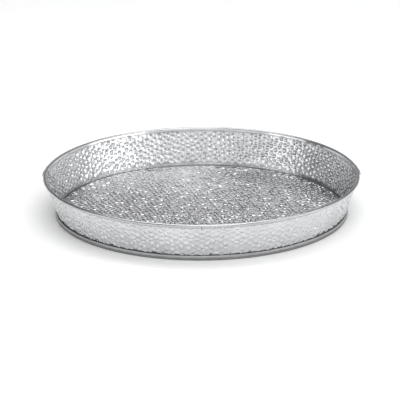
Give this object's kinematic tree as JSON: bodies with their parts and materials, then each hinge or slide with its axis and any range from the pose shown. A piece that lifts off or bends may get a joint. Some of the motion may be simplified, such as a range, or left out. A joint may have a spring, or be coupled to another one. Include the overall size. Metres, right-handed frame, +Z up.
{
  "type": "round serving tray",
  "caption": "Shallow round serving tray of hammered sheet metal with a flared wall, a wired rim and a floor seamed on at the foot.",
  "frame": {"origin": "on the ground under the middle of the tray", "axes": "+Z up out of the tray, -Y towards the front where the rim wire's ends meet, +X to the right"},
  "size_m": [0.4068, 0.404, 0.0514],
  "materials": {
    "hammered_sheet": "bright hammered sheet metal",
    "wire_steel": "drawn steel wire",
    "sealant": "matt sealing compound"
  },
  "bodies": {
    "root": {"floor_panel": "hammered_sheet", "wall_front": "hammered_sheet", "wall_back": "hammered_sheet", "rim_wire": "wire_steel", "seam_sealant": "sealant"}
  },
  "joints": []
}
